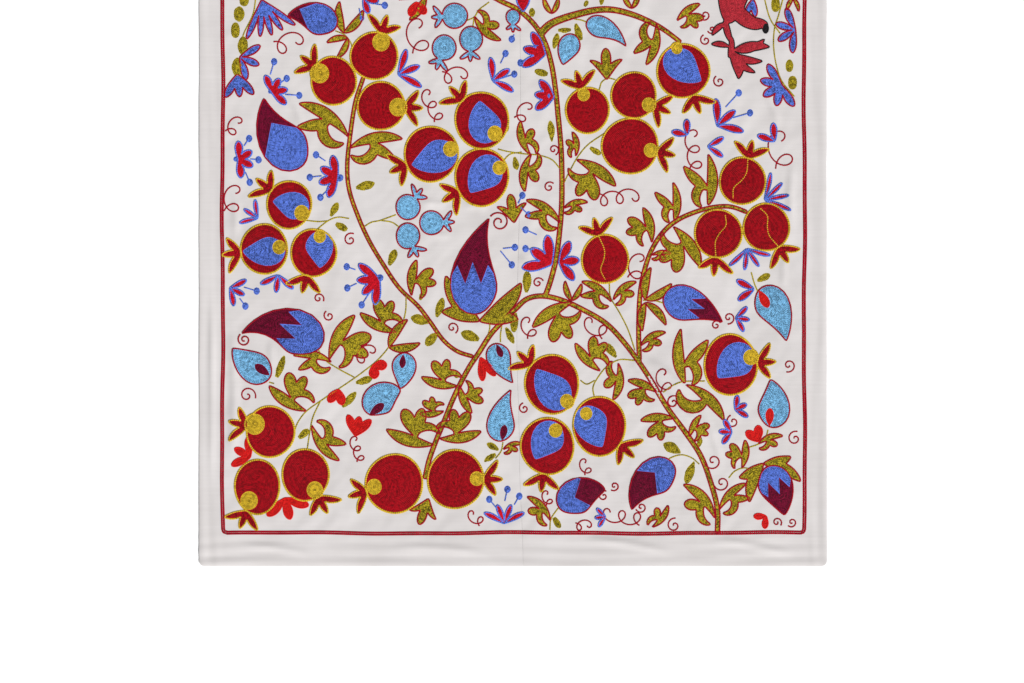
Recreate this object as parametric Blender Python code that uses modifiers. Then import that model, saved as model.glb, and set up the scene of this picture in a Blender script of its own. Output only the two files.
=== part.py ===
"""Suzani, an embroidered silk hanging laid out flat, modelled in metres with +Z up.

Two loom widths of silk are sewn together down the middle. Each panel is one thin sheet whose hems
are folded out of the same cloth. The sheet lies on the surface and stands off it only in its creases.
+X is to the right, +Y runs up the design, and the design faces +Z.
"""
import math
from collections import namedtuple

import bmesh
import bpy
import numpy as np

# Cut and sewn sizes, in metres
WIDTH = 1.004
LENGTH = 1.500
CLOTH_THICKNESS = 0.0016
HEM_THICKNESS = 0.0025
HEM_WIDTH = 0.012
CORNER_RADIUS = 0.009
SEAM_GAP = 0.0003

# The middle seam isn't quite straight: its place right of the middle at each height above the lower hem
SeamPoint = namedtuple("SeamPoint", "height offset")
SEAM = [
    SeamPoint(0.00, 0.016),
    SeamPoint(0.18, 0.010),
    SeamPoint(0.36, 0.006),
    SeamPoint(0.70, 0.012),
    SeamPoint(1.10, 0.009),
    SeamPoint(1.50, 0.012),
]

# The outer edges wave gently where the hem draws the cloth in
EDGE_WAVE = 0.0008
EDGE_WAVE_LENGTH = 0.190

# The creases, in millimetres: each runs from (x0, y0) to (x1, y1), with x from the middle of the width and
# y from the lower hem. Bow is how far its middle strays to the left of that line.
Crease = namedtuple("Crease", "x0 y0 x1 y1 bow width height")
CREASES = [
    # The long diagonal crease of the right panel, and its neighbours
    Crease(140, 394, 337, 190, -10, 26, 4.2),
    Crease(132, 372, 212, 300, 4, 22, 2.4),
    Crease(204, 338, 290, 262, 5, 22, 2.6),
    Crease(292, 262, 336, 150, 6, 20, 2.2),
    # Short creases on the same slant
    Crease(87, 620, 112, 586, 0, 18, 2.0),
    Crease(108, 500, 142, 442, 3, 20, 2.4),
    Crease(286, 516, 314, 478, 0, 18, 2.0),
    Crease(8, 498, 42, 462, 0, 18, 2.0),
    Crease(84, 166, 142, 108, 4, 22, 2.4),
    Crease(150, 152, 216, 82, -4, 22, 2.4),
    # Level creases of the left panel
    Crease(-152, 582, -104, 578, 0, 18, 1.8),
    Crease(-82, 577, -38, 574, 0, 18, 1.8),
    Crease(-136, 531, -96, 528, 0, 18, 1.8),
    # Upright creases near the sides
    Crease(-446, 600, -446, 516, 3, 20, 2.0),
    Crease(-452, 404, -450, 152, 6, 24, 2.6),
    Crease(-388, 362, -384, 310, 0, 18, 1.8),
    Crease(-368, 770, -334, 692, 5, 20, 2.0),
    Crease(449, 656, 449, 528, -5, 22, 2.4),
    Crease(434, 496, 432, 444, 0, 18, 1.8),
    Crease(386, 784, 428, 694, 6, 20, 2.0),
    # Slack along the left hem and the lower hem
    Crease(-484, 470, -485, 100, 4, 18, 2.8),
    Crease(-440, 33, -312, 17, 3, 18, 2.4),
    Crease(-204, 31, -30, 19, 4, 20, 2.8),
    Crease(106, 44, 262, 20, 3, 20, 2.8),
    Crease(312, 43, 452, 17, 3, 20, 2.6),
    # The upper part
    Crease(-300, 1060, -210, 950, 8, 24, 2.6),
    Crease(176, 1180, 262, 1040, -8, 24, 2.8),
    Crease(-452, 1290, -450, 1040, 5, 24, 2.4),
    Crease(450, 1240, 452, 1010, -5, 24, 2.4),
    Crease(-190, 1474, -20, 1482, 4, 20, 2.6),
    Crease(130, 1481, 300, 1472, 4, 20, 2.6),
]
CREASE_TIP = 0.35  # share of a crease's length over which each end fades out
MM = 0.001

CELL = 0.036
FINE_CUTS = 2  # times that the cells beside a crease are halved

SILK = (0.72, 0.69, 0.68, 1.0)
SILK_ROUGHNESS = 0.55


def smooth_step(value):
    """Eases from 0 to 1 as value goes from 0 to 1."""
    value = np.clip(value, 0.0, 1.0)
    return value * value * (3.0 - 2.0 * value)


def seam_offset(y):
    """The seam's place right of the middle, eased from one SEAM row to the next."""
    heights = [point.height for point in SEAM]
    row = int(np.clip(np.searchsorted(heights, y) - 1, 0, len(SEAM) - 2))
    low, high = SEAM[row], SEAM[row + 1]
    share = float(smooth_step((y - low.height) / (high.height - low.height)))
    return low.offset + (high.offset - low.offset) * share


def edge_wave(along):
    """How far an outer edge is drawn in at a distance along it."""
    turn = math.tau * along / EDGE_WAVE_LENGTH
    return EDGE_WAVE * (0.5 + 0.3 * math.sin(turn) + 0.2 * math.sin(2.7 * turn + 1.0))


def crease_place(crease, x, y):
    """Distance from a crease's bowed line, and the share of its height there, both at a point."""
    start = np.array((crease.x0, crease.y0)) * MM
    run = np.array((crease.x1, crease.y1)) * MM - start
    length = float(np.linalg.norm(run))
    along_x, along_y = run / length
    share = ((x - start[0]) * along_x + (y - start[1]) * along_y) / length
    across = (y - start[1]) * along_x - (x - start[0]) * along_y
    across -= crease.bow * MM * 4.0 * share * (1.0 - share)
    fade = float(smooth_step(share / CREASE_TIP) * smooth_step((1.0 - share) / CREASE_TIP))
    return abs(across), fade


def lift(x, y):
    """Height of the cloth's underside above the surface, at a place on the cloth."""
    height = 0.0
    for crease in CREASES:
        distance, fade = crease_place(crease, x, y)
        half = crease.width * MM / 2.0
        if distance < half and fade > 0.0:
            rise = crease.height * MM * fade * (0.5 + 0.5 * math.cos(math.pi * distance / half))
            height = max(height, rise)
    return height


def near_crease(x, y, margin):
    """Whether a place lies in a crease or within a margin of it."""
    for crease in CREASES:
        distance, fade = crease_place(crease, x, y)
        if fade > 0.0 and distance < crease.width * MM / 2.0 + margin:
            return True
    return False


def round_corner(across, along):
    """Draws a point near an outer corner in, so that the corner is round.

    across and along are its distances from the side edge and from the nearer end.
    """
    a = CORNER_RADIUS - across
    b = CORNER_RADIUS - along
    if a <= 0.0 or b <= 0.0:
        return across, along
    pull = max(a, b) / math.hypot(a, b)
    return CORNER_RADIUS - a * pull, CORNER_RADIUS - b * pull


def panel_point(side, across, y):
    """The place on the surface of a point of a panel.

    across runs from 0 at the outer edge to 1 at the seam, and y from 0 to LENGTH. side is -1 or 1.
    """
    seam = seam_offset(y) + side * SEAM_GAP / 2.0
    breadth = WIDTH / 2.0 - side * seam
    from_edge = across * breadth
    from_end = min(y, LENGTH - y)
    from_edge, from_end = round_corner(from_edge, from_end)
    y = from_end if y < LENGTH / 2.0 else LENGTH - from_end
    # The waves fade out inside the hem, and at the ends so that the overall size holds
    inward = 1.0 - float(smooth_step(from_edge / (3.0 * HEM_WIDTH)))
    x = side * (WIDTH / 2.0 - from_edge - edge_wave(y) * inward * math.sin(math.pi * y / LENGTH))
    return x, y


def grid_lines(length, hems):
    """Evenly spaced grid lines from 0 to a length, with two to each hem, which has one at either end or at 0."""
    inner_end = length - HEM_WIDTH if hems == 2 else length
    count = max(2, round((inner_end - HEM_WIDTH) / CELL))
    lines = [0.0, HEM_WIDTH / 2.0] + list(np.linspace(HEM_WIDTH, inner_end, count + 1))
    if hems == 2:
        lines += [length - HEM_WIDTH / 2.0, length]
    return lines


def silk_material():
    """Off-white silk."""
    material = bpy.data.materials.new("silk_ground")
    material.use_nodes = True
    shader = material.node_tree.nodes["Principled BSDF"]
    shader.inputs["Base Color"].default_value = SILK
    shader.inputs["Roughness"].default_value = SILK_ROUGHNESS
    shader.inputs["Metallic"].default_value = 0.0
    return material


def make_panel(name, side, material):
    """One panel: a grid for its underside, finer near the creases, lifted there and then thickened upwards."""
    breadth = WIDTH / 2.0 - side * float(np.mean([point.offset for point in SEAM]))
    columns = [line / breadth for line in grid_lines(breadth, 1)]
    rows = grid_lines(LENGTH, 2)
    bm = bmesh.new()
    bmesh.ops.create_grid(bm, x_segments=len(columns) - 1, y_segments=len(rows) - 1, size=1.0)

    def spread(vert):
        """Turns a place on the even grid of -1 to 1 into the panel's own across and y."""
        across = np.interp((vert.co.x + 1.0) / 2.0 * (len(columns) - 1), range(len(columns)), columns)
        y = np.interp((vert.co.y + 1.0) / 2.0 * (len(rows) - 1), range(len(rows)), rows)
        return float(across), float(y)

    for vert in bm.verts:
        across, y = spread(vert)
        vert.co.x, vert.co.y = across, y
    size = CELL
    for _ in range(FINE_CUTS):
        edges = set()
        for face in bm.faces:
            middle = face.calc_center_median()
            x, y = panel_point(side, middle.x, middle.y)
            if near_crease(x, y, size / 4.0):
                edges.update(face.edges)
        bmesh.ops.subdivide_edges(bm, edges=list(edges), cuts=1, use_grid_fill=True)
        size /= 2.0

    hem_share = {}
    for vert in bm.verts:
        x, y = panel_point(side, vert.co.x, vert.co.y)
        from_rim = min(vert.co.x * breadth, vert.co.y, LENGTH - vert.co.y)
        hem_share[vert.index] = 1.0 if from_rim < HEM_WIDTH * 0.9 else CLOTH_THICKNESS / HEM_THICKNESS
        rim_fade = float(smooth_step(min(vert.co.y, LENGTH - vert.co.y) / HEM_WIDTH))
        vert.co = (x, y - LENGTH / 2.0, lift(x, y) * rim_fade)
    if side > 0:
        bmesh.ops.reverse_faces(bm, faces=bm.faces)
    mesh = bpy.data.meshes.new(name)
    bm.to_mesh(mesh)
    bm.free()
    mesh.materials.append(material)
    mesh.shade_smooth()

    panel = bpy.data.objects.new(name, mesh)
    group = panel.vertex_groups.new(name="thickness")
    for index, share in hem_share.items():
        group.add([index], share, "REPLACE")
    solidify = panel.modifiers.new("cloth thickness", "SOLIDIFY")
    solidify.thickness = HEM_THICKNESS
    solidify.offset = 1.0
    solidify.vertex_group = group.name
    return panel


def main():
    for scene_object in list(bpy.data.objects):
        bpy.data.objects.remove(scene_object, do_unlink=True)
    collection = bpy.data.collections.new("suzani")
    bpy.context.scene.collection.children.link(collection)
    silk = silk_material()
    for name, side in (("left_panel", -1), ("right_panel", 1)):
        collection.objects.link(make_panel(name, side, silk))


main()
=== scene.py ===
import math
from collections import namedtuple

import bpy
import numpy as np
from mathutils.geometry import delaunay_2d_cdt
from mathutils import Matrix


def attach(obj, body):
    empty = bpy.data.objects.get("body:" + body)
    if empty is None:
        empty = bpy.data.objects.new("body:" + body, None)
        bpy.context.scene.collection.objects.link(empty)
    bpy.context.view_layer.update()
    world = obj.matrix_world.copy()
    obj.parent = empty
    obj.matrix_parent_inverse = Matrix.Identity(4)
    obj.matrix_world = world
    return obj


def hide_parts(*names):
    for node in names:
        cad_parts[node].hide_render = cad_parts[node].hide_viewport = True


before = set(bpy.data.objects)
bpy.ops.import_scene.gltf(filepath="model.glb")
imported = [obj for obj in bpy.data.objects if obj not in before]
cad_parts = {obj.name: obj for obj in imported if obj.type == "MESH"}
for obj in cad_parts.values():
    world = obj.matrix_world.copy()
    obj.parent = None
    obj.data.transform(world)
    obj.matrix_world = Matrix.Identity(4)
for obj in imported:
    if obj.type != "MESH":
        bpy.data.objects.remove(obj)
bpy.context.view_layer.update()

# Sizes of the cloth, in metres, as the solids have them
WIDTH = 1.004
LENGTH = 1.500
HEM_WIDTH = 0.012
CORNER_RADIUS = 0.009
EDGE_WAVE = 0.0008
EDGE_WAVE_LENGTH = 0.190
MM = 0.001
LENGTH_MM = LENGTH / MM

# The seam, in metres: its gap, narrower here than in the solids, and how deep and wide the silk dips
SEAM_GAP = 0.0001
SEAM_DIP = 0.00012
SEAM_REACH = 0.004

# The sheet of silk, in metres
SILK_THICKNESS = 0.0009
FLOOR_GAP = 0.0001
HEM_STEP = 0.0008  # the step up at the folded hem
EDGE_ROLL = 0.0015  # how far in from its edge the silk rolls down
SILK_CELL = 0.0042  # of the mesh
EDGE_CELL = 0.0005

# How the silk lies unevenly, in metres: streaks in the margins, and soft hollows inside them
SIDE_MARGIN = 0.458  # how far from the middle the side margins start
FOOT_MARGIN = 0.056  # how far the margins at the foot and the top reach in
MARGIN_BLUR = 0.02
SIDE_STREAK = 0.00040
FOOT_STREAK = 0.00060
HOLLOW = 0.00055
FINE_HOLLOW = 0.00022

# Chain stitch, in millimetres
RIM_WIDTH = 3.4
FRUIT_RIM = 4.3
CROWN_RIM = 3.2
BEAST_RIM = 2.6
LINE_WIDTH = 3.0
SPLIT_WIDTH = 2.8
STALK_WIDTH = 2.6
HALF_STITCH = 1.7
PINCH_WIDTH = 0.76  # share of a row's width that is left between two stitches
PINCH_HEIGHT = 0.66
ROW_PITCH = 2.4
ROW_SHIFT = 1.7  # how far each row's stitches are shifted against the next, in radians
SHEEN_RING_PITCH = 7.5  # of the faint rings of painted sheen that run along a filling's rows
FILL_CELL = 4.0  # of a filling's mesh
FILL_HEIGHT = 0.45
LINE_HEIGHT = 0.60
LINE_TOP = 0.58  # share of a line's width that its top takes
UNDER_RIM = 0.1  # height of a filling's edge where a rim covers it
ROOT_DEPTH = 0.15  # how far the stitching's edges reach below the silk's face
STITCH_CELL = 0.0026  # one stitch of a filling, in metres

# Lines and outlines
LOBE_STEPS = 14
CURVE_STEPS = 12
VINE_STEP = 4.0  # from one point of a vine's sides to the next, in millimetres
CURL_SWEEP = 560  # degrees that a curl winds through
SPIRAL_SWEEP = 522  # degrees that a spiral winds through
BLOCK = 400  # points that are measured at a time

SeamPoint = namedtuple("SeamPoint", "height offset")
SEAM = [
    SeamPoint(0.00, 0.016),
    SeamPoint(0.18, 0.010),
    SeamPoint(0.36, 0.006),
    SeamPoint(0.70, 0.012),
    SeamPoint(1.10, 0.009),
    SeamPoint(1.50, 0.012),
]

# The creases, in millimetres: x from the middle of the width, y from the lower hem
Crease = namedtuple("Crease", "x0 y0 x1 y1 bow width height")
CREASES = [
    # The long diagonal crease of the right panel, and its neighbours
    Crease(140, 394, 337, 190, -10, 26, 4.2),
    Crease(132, 372, 212, 300, 4, 22, 2.4),
    Crease(204, 338, 290, 262, 5, 22, 2.6),
    Crease(292, 262, 336, 150, 6, 20, 2.2),
    # Short creases on the same slant
    Crease(87, 620, 112, 586, 0, 18, 2.0),
    Crease(108, 500, 142, 442, 3, 20, 2.4),
    Crease(286, 516, 314, 478, 0, 18, 2.0),
    Crease(8, 498, 42, 462, 0, 18, 2.0),
    Crease(84, 166, 142, 108, 4, 22, 2.4),
    Crease(150, 152, 216, 82, -4, 22, 2.4),
    # Level creases of the left panel
    Crease(-152, 582, -104, 578, 0, 18, 1.8),
    Crease(-82, 577, -38, 574, 0, 18, 1.8),
    Crease(-136, 531, -96, 528, 0, 18, 1.8),
    # Upright creases near the sides
    Crease(-446, 600, -446, 516, 3, 20, 2.0),
    Crease(-452, 404, -450, 152, 6, 24, 2.6),
    Crease(-388, 362, -384, 310, 0, 18, 1.8),
    Crease(-368, 770, -334, 692, 5, 20, 2.0),
    Crease(449, 656, 449, 528, -5, 22, 2.4),
    Crease(434, 496, 432, 444, 0, 18, 1.8),
    Crease(386, 784, 428, 694, 6, 20, 2.0),
    # Slack along the left hem and the lower hem
    Crease(-484, 470, -485, 100, 4, 18, 2.8),
    Crease(-440, 33, -312, 17, 3, 18, 2.4),
    Crease(-204, 31, -30, 19, 4, 20, 2.8),
    Crease(106, 44, 262, 20, 3, 20, 2.8),
    Crease(312, 43, 452, 17, 3, 20, 2.6),
    # The upper part
    Crease(-300, 1060, -210, 950, 8, 24, 2.6),
    Crease(176, 1180, 262, 1040, -8, 24, 2.8),
    Crease(-452, 1290, -450, 1040, 5, 24, 2.4),
    Crease(450, 1240, 452, 1010, -5, 24, 2.4),
    Crease(-190, 1474, -20, 1482, 4, 20, 2.6),
    Crease(130, 1481, 300, 1472, 4, 20, 2.6),
]
CREASE_TIP = 0.35  # share of a crease's length over which each end fades out

# Thread colours, linear, with how much lighter or darker single stitches are, by random tone and by painted
# sheen and shade
Thread = namedtuple("Thread", "name colour spread")
THREADS = [
    Thread("crimson", (0.232, 0.001, 0.005), 0.50),
    Thread("rim_crimson", (0.235, 0.001, 0.009), 0.38),
    Thread("scarlet", (0.460, 0.007, 0.006), 0.28),
    Thread("cherry", (0.400, 0.003, 0.011), 0.34),
    Thread("maroon", (0.100, 0.001, 0.015), 0.50),
    Thread("olive", (0.228, 0.176, 0.008), 0.70),
    Thread("yellow", (0.400, 0.262, 0.015), 0.52),
    Thread("cornflower", (0.060, 0.110, 0.400), 0.62),
    Thread("sky", (0.126, 0.302, 0.485), 0.55),
    Thread("madder", (0.330, 0.018, 0.028), 0.35),
    Thread("black", (0.010, 0.008, 0.009), 0.30),
]
THREAD_INDEX = {thread.name: index for index, thread in enumerate(THREADS)}

# Vines: the width of each at either end and its middle line, in millimetres
Vine = namedtuple("Vine", "start_width end_width points")
VINES = [
    Vine(6.5, 6, [(327, 53), (327, 90), (318, 128), (301, 175), (275, 215), (245, 256), (215, 306),
                (184, 350), (150, 387), (110, 411), (76, 426), (46, 432), (22, 427), (4, 411),
                (-16, 392), (-36, 370), (-54, 342), (-70, 318), (-85, 290), (-98, 262), (-110, 232),
                (-122, 203), (-134, 170), (-141, 140)]),
    Vine(6.5, 6, [(52, 433), (60, 456), (69, 492), (75, 540), (78, 582), (78, 640), (76, 680),
                (72, 722), (68, 762), (62, 800), (52, 835), (35, 865), (8, 890), (-22, 905),
                (-56, 926), (-78, 960)]),
    Vine(11, 5, [(44, 852), (62, 868), (94, 880), (132, 889), (164, 889), (202, 878), (238, 860),
                (268, 838)]),
    Vine(4.5, 5, [(-64, 335), (-90, 344), (-112, 362), (-132, 390), (-152, 416), (-182, 445), (-206, 480),
                (-230, 520), (-248, 560), (-262, 602), (-265, 642), (-260, 692), (-252, 742), (-239, 782)]),
    Vine(6, 5, [(202, 328), (201, 380), (203, 432), (210, 472), (222, 506), (241, 535), (266, 555),
                (300, 569), (330, 575), (352, 574), (374, 566)]),
]
# Stems: the middle line of each, all of one width
STEM_WIDTH = 2.9
STEMS = [
    [(-262, 556), (-280, 558), (-296, 552), (-314, 538)],
    [(-296, 552), (-312, 551), (-331, 553)],
    [(-238, 543), (-226, 550), (-212, 553), (-187, 562)],
    [(-212, 553), (-194, 550), (-183, 543)],
    [(-24, 667), (-8, 663), (20, 659), (42, 657), (62, 650), (75, 636)],
    [(-14, 650), (-4, 659), (14, 662)],
    [(82, 614), (92, 634), (104, 655), (120, 674), (146, 692)],
    [(154, 452), (156, 430), (170, 406), (184, 378), (195, 345)],
    [(194, 329), (170, 330), (150, 319), (136, 302), (128, 286), (130, 270)],
    [(131, 297), (118, 291), (108, 297)],
    [(-314, 352), (-302, 331), (-280, 316), (-254, 302)],
    [(-171, 432), (-172, 406), (-180, 380), (-196, 354), (-216, 330), (-246, 306), (-272, 288),
     (-302, 268), (-330, 248), (-344, 230), (-350, 214)],
    [(-308, 264), (-320, 238), (-325, 214), (-329, 188)],
    [(240, 278), (254, 288), (272, 295), (307, 296)],
    [(242, 166), (254, 174), (270, 178), (286, 173), (298, 163)],
    [(345, 141), (355, 152), (372, 157), (391, 148)],
    [(378, 190), (394, 196), (404, 206), (408, 218)],
    [(381, 470), (386, 452), (392, 438)],
    [(-284, 856), (-270, 850), (-260, 838), (-256, 824)],
    [(-411, 912), (-416, 882), (-430, 853), (-434, 838)],
    [(401, 912), (411, 876), (427, 852)],
    [(433, 912), (425, 882), (418, 858), (417, 828), (422, 798), (431, 774), (450, 751)],
    [(-40, 397), (-37, 382), (-41, 366)],
    [(-18, 384), (-20, 370), (-20, 358)],
    [(-390, 294), (-382, 292)],
    [(59, 58), (61, 76), (74, 95)],
    [(208, 425), (224, 425), (243, 420)],
    [(-76, 872), (-62, 878), (-54, 890), (-38, 902)],
    [(-62, 878), (-64, 864)],
    [(98, 875), (110, 873), (120, 869)],
    [(138, 762), (142, 774), (152, 780), (164, 778)],
    [(-16, 198), (-19, 184), (-28, 172)],
]

# Pomegranates: size of the body, which way its crown points in degrees, tip of the seed, and place and
# radius of the eye
Fruit = namedtuple("Fruit", "x y width height crown seed eye eye_radius")
FRUITS = [
    Fruit(-287, 776, 72, 77, 143, None, (-309, 788), 15),
    Fruit(-222, 816, 76, 75, 72, None, (-211, 838), 14),
    Fruit(-211, 736, 75, 77, -3, None, (-184, 734), 14),
    Fruit(-50, 713, 85, 90, 134, (-53, 744), (-29, 692), 12),
    Fruit(-131, 659, 86, 88, 204, (-162, 642), (-100, 667), 12),
    Fruit(-50, 622, 85, 92, 212, (-68, 597), (-22, 637), 11),
    Fruit(-358, 578, 71, 76, 142, (-384, 583), (-338, 565), 12),
    Fruit(-398, 507, 75, 79, 188, (-432, 504), (-374, 510), 11),
    Fruit(-319, 501, 73, 75, 254, (-309, 477), (-309, 527), 10),
    Fruit(-388, 215, 76, 82, 166, None, (-413, 227), 16),
    Fruit(-409, 127, 71, 88, 247, None, (-422, 105), 14),
    Fruit(-332, 146, 74, 83, 300, None, (-317, 122), 13),
    Fruit(-190, 132, 91, 94, 196, None, (-222, 127), 12),
    Fruit(-92, 139, 89, 94, 0, None, (-58, 140), 11),
    Fruit(62, 291, 85, 95, 137, (38, 315), (86, 264), 11),
    Fruit(55, 192, 85, 90, 262, (36, 171), (68, 217), 11),
    Fruit(138, 224, 84, 94, 318, (143, 191), (117, 244), 10),
    Fruit(119, 729, 69, 73, 106, None, (113, 754), 10),
    Fruit(193, 753, 72, 73, -26, None, (217, 738), 11),
    Fruit(187, 672, 90, 88, -12, None, (220, 665), 11),
    Fruit(272, 792, 84, 86, 292, (301, 776), (262, 828), 9),
    Fruit(147, 491, 74, 78, 105, None, None, 0),
    Fruit(367, 616, 73, 75, 76, None, None, 0),
    Fruit(328, 532, 76, 76, 264, None, None, 0),
    Fruit(405, 542, 73, 76, -58, None, None, 0),
    Fruit(348, 322, 84, 98, 4, (328, 301), (380, 334), 12),
]
SMALL_FRUITS = [
    Fruit(-93, 880, 40, 40, 184, None, None, 0),
    Fruit(-110, 829, 38, 40, 250, None, None, 0),
    Fruit(-67, 843, 36, 40, 268, None, None, 0),
    Fruit(-168, 574, 38, 40, 52, None, None, 0),
    Fruit(-168, 528, 37, 41, 296, None, None, 0),
    Fruit(-130, 549, 38, 38, 2, None, None, 0),
    Fruit(0, 878, 22, 24, 270, None, None, 0),
]
CROWN_LENGTH = 36
CROWN_WIDTH = 10.5
CROWN_SPREAD = 52  # degrees between its lobes
CROWN_SHARES = [(0.94, 0.90, 1.10), (1.06, 0.86, 1.00)]  # lengths of the lobes, of two kinds of crown
SMALL_CROWN = 0.62
FRUIT_LUMPS = 0.012
SEED_RADIUS = 0.285  # share of the body's size
SEED_BEND = 34

# Curved drops: the middle of the round end, the tip, the bend, the share of the length that has the cap's
# colour, how the cap ends, the radius of the curl at the tip, and whether an olive calyx holds the round end
Bud = namedtuple("Bud", "x y radius tip_x tip_y bend body cap cap_share cap_end seed curl calyx")
BUDS = [
    Bud(-306, 873, 25, -360, 880, -66, "cornflower", "maroon", 0.50, "point", None, 0, False),
    Bud(-361, 668, 36, -398, 748, 66, "cornflower", "maroon", 0.56, "point", None, 0, False),
    Bud(-338, 370, 35, -434, 372, -96, "cornflower", "maroon", 0.60, "teeth", None, 11, False),
    Bud(-62, 440, 37, -38, 556, 54, "cornflower", "maroon", 0.62, "teeth", None, -17, True),
    Bud(-410, 315, 25, -448, 348, 30, "sky", None, 0.0, None, "maroon", 0, False),
    Bud(-216, 264, 25, -180, 281, 70, "sky", None, 0.0, None, "maroon", 0, False),
    Bud(-174, 322, 19, -180, 284, 26, "sky", None, 0.0, None, "maroon", 0, False),
    Bud(-24, 337, 19, 0, 293, -40, "sky", None, 0.0, None, "maroon", 0, False),
    Bud(-20, 222, 22, -3, 282, 44, "sky", None, 0.0, None, "maroon", 0, False),
    Bud(91, 834, 17, 80, 802, -26, "sky", None, 0.0, None, None, 0, False),
    Bud(134, 864, 17, 181, 831, 60, "sky", None, 0.0, None, None, 0, False),
    Bud(412, 422, 27, 437, 360, 44, "sky", None, 0.0, None, "scarlet", 0, False),
    Bud(417, 247, 25, 412, 298, -44, "sky", None, 0.0, None, "scarlet", 0, False),
    Bud(268, 422, 28, 335, 390, 46, "cornflower", "maroon", 0.54, "teeth", None, 0, False),
    Bud(98, 109, 28, 147, 122, 70, "cornflower", "maroon", 0.40, "wedge", None, 0, False),
    Bud(232, 146, 29, 190, 90, -78, "cornflower", "maroon", 0.48, "wedge", None, 0, False),
    Bud(418, 134, 27, 434, 82, 30, "cornflower", "maroon", 0.56, "teeth", None, 0, True),
]
# Where a cap's edge turns between its two sides: the share of the way across, and how far it leans, in radii
CAP_ENDS = {
    "teeth": [(0.15, -0.46), (0.32, 0.34), (0.50, -0.60), (0.68, 0.34), (0.85, -0.46)],
    "point": [(0.40, -0.95)],
    "wedge": [(0.45, 0.70)],
}
# A calyx's lobes on each side: turn from the way the bud points and bend, in degrees, and length and width,
# in radii
CalyxLobe = namedtuple("CalyxLobe", "turn length width bend")
CALYX_LOBES = [CalyxLobe(42, 2.5, 0.66, 44), CalyxLobe(82, 1.7, 0.60, -34)]
CALYX_DROP = 7.0  # how far past the bud's round end the calyx starts

# Leaves are unions of lobes. Along and aside place a lobe's root, and with length and width they are shares
# of the leaf's size: along the leaf, and towards its short lobes. Turn and bend are in degrees.
Lobe = namedtuple("Lobe", "along aside turn length width bend peak roundness")
LEAF_KINDS = {
    "half": [
        Lobe(0.00, 0.00, 0, 1.04, 0.21, 52, 0.57, 0.80),
        Lobe(0.34, -0.04, 42, 0.46, 0.23, 0, 0.64, 0.52),
        Lobe(0.40, -0.04, 156, 0.60, 0.16, 136, 0.42, 0.70),
    ],
    "sweep": [
        Lobe(0.00, 0.00, 0, 1.04, 0.20, 48, 0.56, 0.80),
        Lobe(0.40, -0.03, 42, 0.56, 0.19, -10, 0.42, 0.76),
        Lobe(0.46, -0.04, 160, 0.70, 0.18, 166, 0.42, 0.70),
    ],
    "hand": [
        Lobe(0.00, 0.00, 0, 1.02, 0.24, 32, 0.56, 0.80),
        Lobe(0.36, 0.02, 46, 0.64, 0.26, 0, 0.66, 0.52),
        Lobe(0.38, 0.04, 84, 0.58, 0.22, 8, 0.66, 0.52),
        Lobe(0.44, 0.04, 158, 0.66, 0.16, 136, 0.42, 0.72),
    ],
    "hook": [
        Lobe(0.00, 0.00, 0, 1.04, 0.20, 48, 0.56, 0.80),
        Lobe(0.48, -0.06, 158, 0.80, 0.23, 166, 0.42, 0.70),
    ],
    "trefoil": [
        Lobe(0.00, 0.00, 0, 1.00, 0.30, 0, 0.68, 0.55),
        Lobe(0.00, 0.00, 40, 0.86, 0.20, 62, 0.46, 0.82),
        Lobe(0.00, 0.00, -40, 0.86, 0.20, -62, 0.46, 0.82),
    ],
    "fork": [
        Lobe(0.00, 0.00, 24, 1.00, 0.24, -44, 0.46, 0.82),
        Lobe(0.00, 0.00, -24, 0.94, 0.24, 44, 0.46, 0.82),
    ],
    "horns": [
        Lobe(0.00, 0.00, -12, 1.02, 0.20, 40, 0.46, 0.82),
        Lobe(0.30, -0.06, 34, 0.66, 0.20, -16, 0.46, 0.76),
        Lobe(0.40, -0.06, 156, 0.60, 0.17, 146, 0.44, 0.72),
    ],
}
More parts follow.
